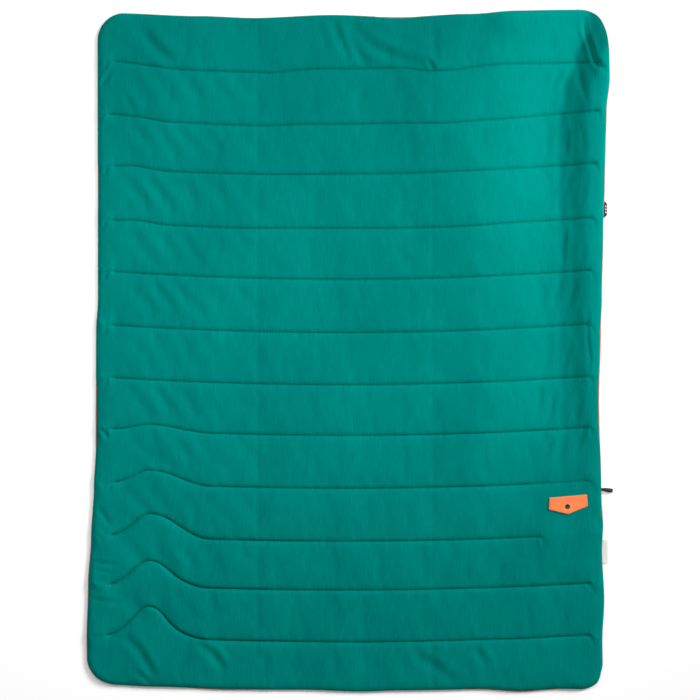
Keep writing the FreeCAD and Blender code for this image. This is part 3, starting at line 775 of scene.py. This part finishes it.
def normals_of(points):
    """Normals of a grid of points, the same on both sides of the middle line."""
    down, across = np.gradient(points, axis=0), np.gradient(points, axis=1)
    n = np.cross(across, down)
    n /= np.maximum(np.linalg.norm(n, axis=-1, keepdims=True), 1e-12)
    return np.where(n[..., 2:] < 0, -n, n)


def sheet_points(sheet, z, tuck):
    """The grid's points, with the rim drawn in where the piping shows."""
    in_x, in_y = sheet.inward()
    drawn = tuck * np.exp(-sheet.edge / (12 * MM))
    return np.stack([sheet.x + in_x * drawn, sheet.y + in_y * drawn, z], axis=-1)


def half_mesh(name, sheet, points, side, material, flip=False):
    part = sheet.half(side)
    cut = points[:, part]
    faces = grid_faces(*cut.shape[:2])
    if not flip:
        faces = faces[:, ::-1]
    places = np.stack([sheet.x[:, part], sheet.y[:, part]], axis=-1).reshape(-1, 2)
    return make_mesh(name, cut.reshape(-1, 3), faces, material, places)


def keep_normals(thing, normals):
    thing.data.normals_split_custom_set_from_vertices(normals.tolist())


def cut_mouth(face, normals):
    """Cuts the pocket's mouth out of the face, and gives the shading normals of the points there are then."""
    half_u, half_v = MOUTH_U + 1.5 * MM, MOUTH_V + 1.5 * MM
    cloth = bmesh.new()
    cloth.from_mesh(face.data)
    shading = cloth.verts.layers.float_vector.new("shading")
    for vertex, normal in zip(cloth.verts, normals):
        vertex[shading] = normal
    origin, along, out = (Vector(place) for place in on_pocket([0, 1, 0], [0, 0, 1], 0))
    for direction, reach in ((along - origin, half_u), (out - origin, half_v)):
        for sign in (-1, 1):
            middles = [(part, part.calc_center_median().xy) for part in cloth.faces]
            near = [part for part, middle in middles if (middle - origin.xy).length < 2 * half_u]
            edges = {edge for part in near for edge in part.edges}
            points = {vertex for part in near for vertex in part.verts}
            bmesh.ops.bisect_plane(
                cloth,
                geom=[*near, *edges, *points],
                plane_co=origin + direction * reach * sign,
                plane_no=direction,
            )
    inside = []
    for part in cloth.faces:
        u, v = pocket_frame(*part.calc_center_median().xy)
        if abs(u) < half_u and abs(v) < half_v:
            inside.append(part)
    bmesh.ops.delete(cloth, geom=inside, context="FACES")
    kept = np.array([vertex[shading] for vertex in cloth.verts])
    cloth.verts.layers.float_vector.remove(shading)
    cloth.to_mesh(face.data)
    cloth.free()
    return kept


SIDES = {-1: "left", 1: "right"}


def across_fold(thing):
    """Bakes the piece's place into its points; it doesn't bend the piece."""
    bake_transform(thing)


def nodes_on(side, stem):
    """The CAD nodes that a half stands for. The centre third goes with the left half."""
    return [f"{stem}_left", f"{stem}_centre"] if side < 0 else [f"{stem}_right"]


def painted_light_and_shade_of(sheet):
    """Painted light and shade at each point: painted light on the slopes beside the valley, painted shade in
    its bottom and along the seams, stronger where the rows are sewn tighter.
    """
    # painted shade in the creases along the seams
    seam = sheet.pull_above * np.exp(-sheet.above / PAINTED_SEAM_SHADE_REACH) + sheet.pull_below * np.exp(-sheet.below / PAINTED_SEAM_SHADE_REACH)
    return valley(sheet.x, sheet.y, PAINTED_SHADE_SECTION, PAINTED_SHADE_DEPTH) - 1.1 * seam * tightness(sheet.x, sheet.y)


def make_face(sheet, swelling):
    z = face_height(sheet, swelling)
    points = sheet_points(sheet, z, 0.6 * MM + 2.4 * MM * sheet.shown)
    normals = normals_of(points)
    for side, word in SIDES.items():
        face = half_mesh(f"face_{word}", sheet, points, side, KNIT)
        # painted light and shade, stored as a mesh attribute that the knit's colour reads
        nap_and_painted_shade = painted_light_and_shade_of(sheet)[:, sheet.half(side)]
        face.data.attributes.new("nap_and_painted_shade", "FLOAT", "POINT").data.foreach_set("value", nap_and_painted_shade.ravel())
        shading = normals[:, sheet.half(side)].reshape(-1, 3)
        keep_normals(face, shading if side < 0 else cut_mouth(face, shading))
        across_fold(face)
        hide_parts(*nodes_on(side, "face_panel"))
    return points


def back_height(sheet):
    dip = seam_dip(sheet.above, sheet.pull_above) + seam_dip(sheet.below, sheet.pull_below)
    rim = np.exp(-sheet.edge / (6 * MM))
    return 0.2 * MM + 0.35 * dip + 1.2 * MM * rim


def make_back(sheet):
    points = sheet_points(sheet, back_height(sheet), 1.2 * MM * (1 - sheet.shown))
    for side, word in SIDES.items():
        back = half_mesh(f"back_{word}", sheet, points, side, WOVEN, flip=True)
        across_fold(back)
        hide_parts(*nodes_on(side, "back_panel"))


def lowest_near(values):
    """The lowest of each value and its eight neighbours."""
    wide = np.pad(values, 1, mode="edge")
    rows, columns = values.shape
    return np.min([wide[i : i + rows, j : j + columns] for i in range(3) for j in range(3)], axis=0)


def make_batting(sheet, swelling):
    """The insulation: a slab that fills the space between the two cloths, with room for the pocket bag."""
    gap = 2.5 * MM
    top = lowest_near(face_height(sheet, swelling)) - gap
    bottom = back_height(sheet) + 0.6 * MM
    u, v = pocket_frame(sheet.x, sheet.y)
    over_bag = (np.abs(u) < 68 * MM) & (v < 14 * MM) & (v > -204 * MM)
    under_bag = 3 * MM
    top = np.where(over_bag, np.minimum(top, under_bag), top)
    inset = 5 * MM
    upper = sheet_points(sheet, np.maximum(top, bottom + 0.3 * MM), inset)
    lower = sheet_points(sheet, bottom, inset)
    for side, word in SIDES.items():
        part = sheet.half(side)
        rows, columns = upper[:, part].shape[:2]
        count = rows * columns
        top_faces = grid_faces(rows, columns)[:, ::-1]
        index = np.arange(count).reshape(rows, columns)
        ring = np.concatenate([index[0, :-1], index[:-1, -1], index[-1, :0:-1], index[:0:-1, 0]])
        following = np.roll(ring, -1)
        walls = np.stack([ring, following, following + count, ring + count], axis=-1)
        faces = np.concatenate([top_faces, top_faces[:, ::-1] + count, walls])
        points = np.concatenate([upper[:, part].reshape(-1, 3), lower[:, part].reshape(-1, 3)])
        batting = make_mesh(f"batting_pad_{word}", points, faces, FLUFF)
        across_fold(batting)
        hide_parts(*nodes_on(side, "batting"))


def sweep(path, section, looped=False, side=None):
    """Rows of points: a section of (side, up) offsets carried along a path, level unless a side is given."""
    ahead = np.roll(path, -1, axis=0) - np.roll(path, 1, axis=0) if looped else np.gradient(path, axis=0)
    ahead /= np.linalg.norm(ahead, axis=1, keepdims=True)
    side = np.cross(ahead, [0.0, 0.0, 1.0]) if side is None else np.broadcast_to(side, path.shape)
    side = side / np.linalg.norm(side, axis=1, keepdims=True)
    up = np.cross(side, ahead)
    section = np.broadcast_to(section, (len(path), *section.shape[-2:]))
    return path[:, None] + side[:, None] * section[:, :, :1] + up[:, None] * section[:, :, 1:]


def tube(name, path, section, material, looped=False, side=None):
    """A mesh from a closed section carried along a path, with texture places along it and round it."""
    rows = sweep(path, section, looped, side)
    outline = section.reshape(-1, *section.shape[-2:])[0]
    places = np.stack(np.meshgrid(along_path(path), along_path(outline), indexing="ij"), axis=-1)
    faces = grid_faces(*rows.shape[:2], closed=True, looped=looped)
    return make_mesh(name, rows.reshape(-1, 3), faces, material, places.reshape(-1, 2))


def circle(radius, count):
    angle = np.arange(count) * 2 * math.pi / count
    return np.stack([np.cos(angle), np.sin(angle)], axis=1) * radius


def make_piping(sheet):
    """A thin tube sewn into the seam round the blanket, in two halves that meet on the middle line."""
    radius = 1.7 * MM
    centre = sheet_points(sheet, np.full_like(sheet.x, 2.9 * MM), radius + 1.1 * MM * (1 - sheet.shown))
    for side, word in SIDES.items():
        rim = centre[:, sheet.half(side)]
        if side < 0:
            path = np.concatenate([rim[0, ::-1], rim[1:, 0], rim[-1, 1:]])
        else:
            path = np.concatenate([rim[0], rim[1:, -1], rim[-1, -2::-1]])
        piping = tube(f"piping_{word}", path, circle(radius, 8), PIPING)
        across_fold(piping)
        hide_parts(*nodes_on(side, "edge_piping"))


def capsule():
    """A stitch of unit length and unit radius: points as (along, side, up), and faces."""
    sides = 5
    rings = [(-0.44, 0.75), (-0.3, 1.0), (0.3, 1.0), (0.44, 0.75)]
    disc = circle(1.0, sides)
    points = [(along, *(spoke * size)) for along, size in rings for spoke in disc]
    faces = grid_faces(len(rings), sides, closed=True).tolist()
    first, last = len(points), len(points) + 1
    points += [(-0.5, 0, 0), (0.5, 0, 0)]
    tail = (len(rings) - 1) * sides
    faces += [[first, (i + 1) % sides, i] for i in range(sides)]
    faces += [[last, tail + i, tail + (i + 1) % sides] for i in range(sides)]
    return np.array(points), faces


def stitches(name, paths, length, gap, radius, material):
    """A run of separate stitches along each path."""
    shape, shape_faces = capsule()
    points, faces, places = [], [], []
    for path in paths:
        steps = along_path(path)
        count = max(1, int(steps[-1] / (length + gap)))
        middles = (np.arange(count) + 0.5) * steps[-1] / count
        at = np.stack([np.interp(middles, steps, path[:, k]) for k in range(3)], axis=1)
        ahead = np.stack([np.interp(middles + length / 4, steps, path[:, k]) for k in range(3)], axis=1)
        behind = np.stack([np.interp(middles - length / 4, steps, path[:, k]) for k in range(3)], axis=1)
        along = ahead - behind
        along /= np.linalg.norm(along, axis=1, keepdims=True)
        side = np.cross([0.0, 0.0, 1.0], along)
        side /= np.linalg.norm(side, axis=1, keepdims=True)
        up = np.cross(along, side)
        made = (
            at[:, None]
            + along[:, None] * shape[None, :, :1] * length
            + side[:, None] * shape[None, :, 1:2] * radius
            + up[:, None] * shape[None, :, 2:] * radius
        )
        for k in range(count):
            start = len(points) * len(shape)
            points.append(made[k])
            places.append(np.stack([middles[k] + shape[:, 0] * length, shape[:, 1] * radius], axis=1))
            faces += [[start + v for v in face] for face in shape_faces]
    return make_mesh(name, np.concatenate(points), faces, material, np.concatenate(places))


def make_quilting(sheet, points):
    """The quilting thread: what lies on the face, and what comes out on the back."""
    under = back_height(sheet)
    for side, word in SIDES.items():
        part = sheet.half(side)
        paths = []
        for number, row in enumerate(sheet.seam_rows, start=1):
            line = points[row, part].copy()
            stitched = row_strength(number, sheet.x[row, part]) > 0.25
            line = line[stitched]
            if side < 0 and len(line):
                line = line[::-1]
            line[:, 2] += 0.15 * MM
            reverse = line.copy()
            reverse[:, 2] = under[row, part][stitched][:: side] - 0.1 * MM
            paths += [line, reverse]
        thread = stitches(f"quilting_{word}", paths, 3.2 * MM, 1.0 * MM, 0.35 * MM, GREEN_THREAD)
        across_fold(thread)
        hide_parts(*nodes_on(side, "quilting_thread"))


# ------------------------------------------------------------------ the pocket

SNAP = sum(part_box("snap_cap"), Vector()) / 2
FLAP_HALF = 52 * MM
# Across the mouth: where the flap is sewn down, and where it lies level.
FLAP_ROOT, FLAP_FLAT = 9.4 * MM, 4.5 * MM
FLAP_CORNER, FLAP_TIP = -22 * MM, -39 * MM
FLAP_LEVEL = 18.1 * MM
SNAP_U, SNAP_V = pocket_frame(SNAP.x, SNAP.y)


def settle(thing, body, slot, *nodes):
    """Puts a rigid piece on its body, in place of its CAD nodes."""
    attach(thing, body)
    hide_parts(*nodes)


def mouth_ring(margin, z):
    """A closed line round the mouth, this far outside it, without its last point."""
    half_u, half_v, radius = MOUTH_U + margin, MOUTH_V + margin, margin + 0.5 * MM
    line = []
    for quarter, (u, v) in enumerate([(1, 1), (-1, 1), (-1, -1), (1, -1)]):
        angle = np.linspace(quarter, quarter + 1, 7) * math.pi / 2
        corner = np.array([u * (half_u - radius), v * (half_v - radius)])
        line.append(corner + np.stack([np.cos(angle), np.sin(angle)], axis=1) * radius)
    line = np.concatenate([*line, line[0][:1]])
    return on_pocket(*spaced(line, 1.5 * MM)[:-1].T, z)


def make_facing():
    """The rolled strip of lining round the mouth, its stitching and the bar tacks at its two ends."""
    roll = circle(1, 12) * (1.5 * MM, 2.4 * MM)
    welt = tube("pocket_facing", mouth_ring(1.5 * MM, 12.2 * MM), roll, LINING, looped=True)
    settle(welt, "right_third", "pocket_lining", "pocket_mouth_facing")
    ring = mouth_ring(4.4 * MM, TOP + 0.1 * MM)
    thread = stitches("pocket_stitching", [ring], 2.4 * MM, 0.8 * MM, 0.35 * MM, GREEN_THREAD)
    settle(thread, "right_third", "quilting_thread", "pocket_topstitch")
    bars = []
    for end in (-1, 1):
        for v in np.linspace(-4.2, 4.2, 18) * MM:
            u = end * (MOUTH_U + 1.5 * MM) + np.array([-1, 1]) * MM
            bars.append(on_pocket(u, v, 14.55 * MM))
    tacks = stitches("pocket_bar_tacks", bars, 1.9 * MM, 0.05 * MM, 0.28 * MM, BLACK_THREAD)
    settle(tacks, "right_third", "black_thread", "pocket_bartacks")


def make_bag():
    """The pocket bag: two layers of lining that meet at their edges, with a slit under the mouth."""
    half, low, high = 64 * MM, -200 * MM, 10 * MM
    u = np.concatenate([np.linspace(-half, -MOUTH_U, 8), np.linspace(-MOUTH_U, MOUTH_U, 34)[1:-1]])
    u = np.concatenate([u, -u[7::-1]])
    v = np.concatenate([np.linspace(low, -MOUTH_V, 70), np.linspace(-MOUTH_V, MOUTH_V, 4)[1:-1]])
    v = np.concatenate([v, np.linspace(MOUTH_V, high, 4)])
    u, v = np.meshgrid(u, v)
    rim = np.minimum(half - np.abs(u), np.minimum(v - low, high - v))
    swell = np.sqrt(1 - (1 - np.clip(rim / (9 * MM), 0, 1)) ** 2)
    places = np.stack([u, v], axis=-1)
    layers = (("upper", 3.1 * MM, "pocket_bag_lower"), ("lower", -3.1 * MM, "batting_pad_right"))
    for word, rise, below in layers:
        slack = ripples(u, v, 8, 6, 0.12, 0.05, 0.1 * MM) * swell
        points = on_pocket(u, v, 6.75 * MM + rise * swell - np.abs(slack) * np.sign(rise))
        faces = grid_faces(*u.shape)
        centre = places.reshape(-1, 2)[faces].mean(axis=1)
        slit = (np.abs(centre[:, 0]) < MOUTH_U) & (np.abs(centre[:, 1]) < MOUTH_V)
        faces = faces[~slit] if rise > 0 else faces[:, ::-1]
        bag = make_mesh(f"pocket_bag_{word}", points.reshape(-1, 3), faces, LINING, places.reshape(-1, 2))
        settle(bag, "right_third", "pocket_lining", "pocket_bag")


def flap_edge(u):
    """How far down the flap reaches at u: level corners that slope to a blunt tip under the press stud."""
    aside = np.hypot(u - SNAP_U, 2 * MM) / (FLAP_HALF + np.sign(SNAP_U - u) * SNAP_U)
    corner = 3 * MM
    turn = np.clip(np.abs(u) - (FLAP_HALF - corner), 0, corner)
    return FLAP_TIP + (FLAP_CORNER - FLAP_TIP) * aside + corner - np.sqrt(corner**2 - turn**2)


def flared(u, v):
    """The place along the mouth once the flap has spread toward its corners, more on its left side."""
    spread = np.where(u < 0, 0.096, 0.004)
    return u * (0.97 + spread * np.clip((FLAP_ROOT - v) / (FLAP_ROOT - FLAP_CORNER), 0, 1))


def make_flap():
    """The flap: two layers of cloth, sewn together and topstitched round the edge, and sewn to the face."""
    rim = np.array([0, 0.1, 0.4, 0.8, 1.3, 1.9, 2.6, 3.3]) * MM
    u = np.concatenate([rim - FLAP_HALF, np.linspace(-48, 48, 49) * MM, (FLAP_HALF - rim)[::-1]])
    bottom = flap_edge(u)
    root = np.linspace(FLAP_ROOT, FLAP_FLAT, 9)
    body = FLAP_FLAT + (bottom + 4 * MM - FLAP_FLAT) * np.linspace(0, 1, 18)[1:, None]
    v = np.concatenate([np.broadcast_to(root[:, None], (9, len(u))), body, (bottom + rim[::-1, None])])
    u = np.broadcast_to(u, v.shape)
    edge = np.minimum(FLAP_HALF - np.abs(u), (v - bottom) * 0.95)
    puff = np.sqrt(1 - (1 - np.clip(edge / (1.6 * MM), 0, 1)) ** 2)
    bend = np.clip((FLAP_ROOT - v) / (FLAP_ROOT - FLAP_FLAT), 0, 1)
    level = TOP + 0.1 * MM + (FLAP_LEVEL - TOP - 0.1 * MM) * np.sqrt(1 - (1 - bend) ** 2)
    middle = np.maximum(level - 1.1 * MM, TOP - 0.1 * MM)
    places = np.stack([u, v], axis=-1).reshape(-1, 2)
    u = flared(u, v)
    near_snap = np.exp(-(((u - SNAP_U) ** 2 + (v - SNAP_V) ** 2) / (9 * MM) ** 2))
    slack = ripples(u, v, 21, 8, 0.06, 0.02, 0.18 * MM) * (1 - near_snap) * bend
    groove = 0.3 * MM * np.exp(-(((edge - 3 * MM) / (0.8 * MM)) ** 2))
    outer = middle + (level - middle + slack - groove) * puff
    lining = middle - 0.5 * MM * puff * bend
    layers = (("flap_outer_cloth", outer, "flap_lining_cloth"), ("flap_lining_cloth", lining, "snap_socket"))
    for name, z, below in layers:
        faces = grid_faces(*u.shape)
        faces = faces[:, ::-1] if z is outer else faces
        cloth = make_mesh(name, on_pocket(u, v, z).reshape(-1, 3), faces, FLAP_CLOTH, places)
        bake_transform(cloth)
        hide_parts("flap_outer" if z is outer else "flap_lining")
    inset = 3 * MM
    side = FLAP_HALF - inset
    corners = [(-side, 5 * MM), (side, 5 * MM)]
    corners += [(at, flap_edge(at) + inset * 1.1) for at in (side, SNAP_U, -side)] + [(-side, 5 * MM)]
    u, v = spaced(corners, 0.8 * MM).T
    line = on_pocket(flared(u, v), v, FLAP_LEVEL - 0.1 * MM)
    thread = stitches("flap_stitching", [line], 2.4 * MM, 0.8 * MM, 0.3 * MM, ORANGE_THREAD)
    settle(thread, "pocket_flap", "orange_thread", "flap_topstitch")


def make_snap():
    """The press stud: a turned cap with a rolled rim and a dished middle, and the CAD's own hidden parts."""
    profile = np.array([
        (0, 19.0), (1.6, 19.05), (2.6, 19.3), (3.4, 19.6), (4.6, 19.65), (5.6, 19.4), (6.3, 18.9),
        (6.5, 18.4),
        (6.3, 18.1), (5.0, 18.0), (2.4, 17.9), (2.3, 16.5), (0, 16.5),
    ]) * MM
    around = 40
    spokes = circle(1, around)
    rings = [(spokes * radius + (SNAP.x, SNAP.y), z) for radius, z in profile]
    rows = [np.column_stack([ring, np.full(around, z)]) for ring, z in rings]
    faces = grid_faces(len(profile), around, closed=True)[:, ::-1]
    cap = make_mesh("snap_cap_turned", np.concatenate(rows), faces, PLASTIC)
    settle(cap, "pocket_flap", "snap_plastic", "snap_cap")
    for node in ("snap_socket", "snap_stud", "snap_post"):
        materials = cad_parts[node].data.materials
        materials.clear()
        materials.append(PLASTIC)


# ------------------------------------------------------------------ what is sewn into the side seam


def on_seam(thing):
    """Bakes the piece's place into its points; it doesn't bend the piece."""
    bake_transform(thing)


def make_side_label():
    """A strip of woven label, folded in half at its outer end, with three plain pale bars."""
    low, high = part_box("side_label")
    middle, half = (low.y + high.y) / 2, (high.y - low.y) / 2
    inner, outer, lift = HALF_WIDTH - 6 * MM, high.x + 6.5 * MM, 0.45 * MM
    mid_z = (low.z + high.z) / 2 + 0.2 * MM
    turn = np.linspace(math.pi / 2, -math.pi / 2, 9)
    bend = np.stack([outer - lift + lift * np.cos(turn), mid_z + lift * np.sin(turn)], axis=1)
    path = spaced([(inner, mid_z + lift), *bend, (inner, mid_z - lift)], 0.5 * MM)
    across = np.linspace(-1, 1, 25)
    shoulder = low.x + 7.5 * MM
    taper = 9 * MM * np.clip((path[:, 0] - shoulder) / (outer - shoulder), 0, 1)
    y = middle + across[None] * (half - taper[:, None])
    x = np.broadcast_to(path[:, :1], y.shape)
    z = path[:, 1:] + 0.25 * MM * np.sin(across * 2.6 + 1)[None] * smooth((x - HALF_WIDTH) / (10 * MM))
    places = np.stack(np.broadcast_arrays(along_path(path)[:, None], y), axis=-1).reshape(-1, 2)
    points = np.stack([x, y, z], axis=-1)
    faces = grid_faces(*y.shape)[:, ::-1]
    label = make_mesh("side_label_woven", points.reshape(-1, 3), faces, WEBBING, places)
    on_seam(label)
    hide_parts("side_label")
    bars = []
    for bar in (-8, 0, 8):
        for step in np.linspace(-2.2, 2.2, 12):
            place = np.array([[outer - 5.5 * MM], [outer - 1.5 * MM]])
            at = (bar + step) * MM
            rise = mid_z + lift + 0.25 * MM * np.sin(at / half * 2.6 + 1) + 0.05 * MM
            bars.append(np.hstack([place, np.full((2, 1), middle + at), np.full((2, 1), rise)]))
    thread = stitches("side_label_bars", bars, 3.8 * MM, 0.1 * MM, 0.22 * MM, CARE)
    settle(thread, "side_label", "woven_label")


def make_care_label():
    """A single layer of pale tape, with a slight curl."""
    low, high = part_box("care_label")
    middle = (low.y + high.y) / 2
    x = np.linspace(HALF_WIDTH - 5 * MM, high.x + 2 * MM, 24)
    y = np.linspace(low.y, high.y, 60)
    x, y = np.meshgrid(x, y)
    out = smooth((x - HALF_WIDTH) / (16 * MM))
    z = (low.z + high.z) / 2 + out * (0.8 * MM * np.sin((y - middle) / (14 * MM)) + 0.7 * MM * out)
    points = np.stack([x, y, z], axis=-1)
    label = make_mesh("care_label_tape", points.reshape(-1, 3), grid_faces(*x.shape), CARE)
    on_seam(label)
    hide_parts("care_label")


def make_hang_loop():
    """A strap folded back on itself: two tails that leave the seam together, a bar tack, and an eye."""
    low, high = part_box("hang_loop")
    root_x, root_y, middle_z = HALF_WIDTH + 1.8 * MM, -373 * MM, (low.z + high.z) / 2
    turn, thick, half = math.radians(-7), 1.2 * MM, 3.3 * MM
    upper = np.array([(-6, 0.65), (0, 0.65), (4, 0.7), (8, 1.5), (12, 2.8), (17, 3.3), (27, 3.3)]) * MM
    angle = np.linspace(math.pi / 2, -math.pi / 2, 13)[1:-1]
    tip = np.stack([upper[-1, 0] + half * np.cos(angle), half * np.sin(angle)], axis=1)
    out, up = spaced(np.concatenate([upper, tip, upper[::-1] * (1, -1)]), 0.7 * MM).T
    path = np.stack([root_x + out * math.cos(turn), root_y + out * math.sin(turn), middle_z + up], axis=1)
    flat = np.array(
        [(-1, -0.2), (-0.94, -0.5), (0.94, -0.5), (1, -0.2), (1, 0.2), (0.94, 0.5), (-0.94, 0.5), (-1, 0.2)]
    )
    half_width = (3.4 + 1.6 * smooth(out / (16 * MM))) * MM
    section = flat[None] * np.stack([half_width, np.full_like(out, thick)], axis=1)[:, None]
    strap = tube("hang_loop_strap", path, section, WEBBING, side=(-math.sin(turn), math.cos(turn), 0))
    on_seam(strap)
    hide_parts("hang_loop")
    bars = []
    for across in np.linspace(-3, 3, 13) * MM:
        along = np.array([2.6, 4.4]) * MM
        x = root_x + along * math.cos(turn) - across * math.sin(turn)
        y = root_y + along * math.sin(turn) + across * math.cos(turn)
        bars.append(np.stack([x, y, np.full(2, middle_z + 0.7 * MM + 0.6 * thick)], axis=1))
    tack = stitches("hang_loop_tack", bars, 1.75 * MM, 0.05 * MM, 0.26 * MM, BLACK_THREAD)
    settle(tack, "hang_loop", "black_thread", "hang_loop_bartack")


# ------------------------------------------------------------------ build


def make_floor():
    """A plain pale floor, a hair below the blanket."""
    mesh = bpy.data.meshes.new("floor")
    reach, level = 9.0, -0.4 * MM
    corners = [(x * reach, y * reach, level) for x, y in ((-1, -1), (1, -1), (1, 1), (-1, 1))]
    mesh.from_pydata(corners, [], [(0, 1, 2, 3)])
    floor = new_object("floor", mesh)
    shader = Shader("floor", roughness=0.9, specular=0.1)
    shader.set("Base Color", (0.95, 0.95, 0.95, 1))
    shader.set("Emission Color", (1, 1, 1, 1))
    shader.set("Emission Strength", 0.12)
    mesh.materials.append(shader.material)


bpy.context.scene.view_settings.view_transform = "Standard"
make_camera()
make_world(0.24)
make_light("key", "SUN", (7.4, 5.2, 4.6), 3.0, 16)
make_light("overhead", "AREA", (0, 0.3, 1.5), 21, (2.4, 0.4))

make_floor()

fine = Sheet(4.2 * MM, 2.0 * MM, 26)
coarse = Sheet(9 * MM, 4 * MM, 12)
swelling = swell_as_cloth(coarse)
face_points = make_face(fine, onto(swelling, coarse, fine))
make_back(coarse)
make_batting(coarse, swelling)
make_piping(coarse)
make_quilting(fine, face_points)
make_facing()
make_bag()
make_flap()
make_snap()
make_side_label()
make_care_label()
make_hang_loop()
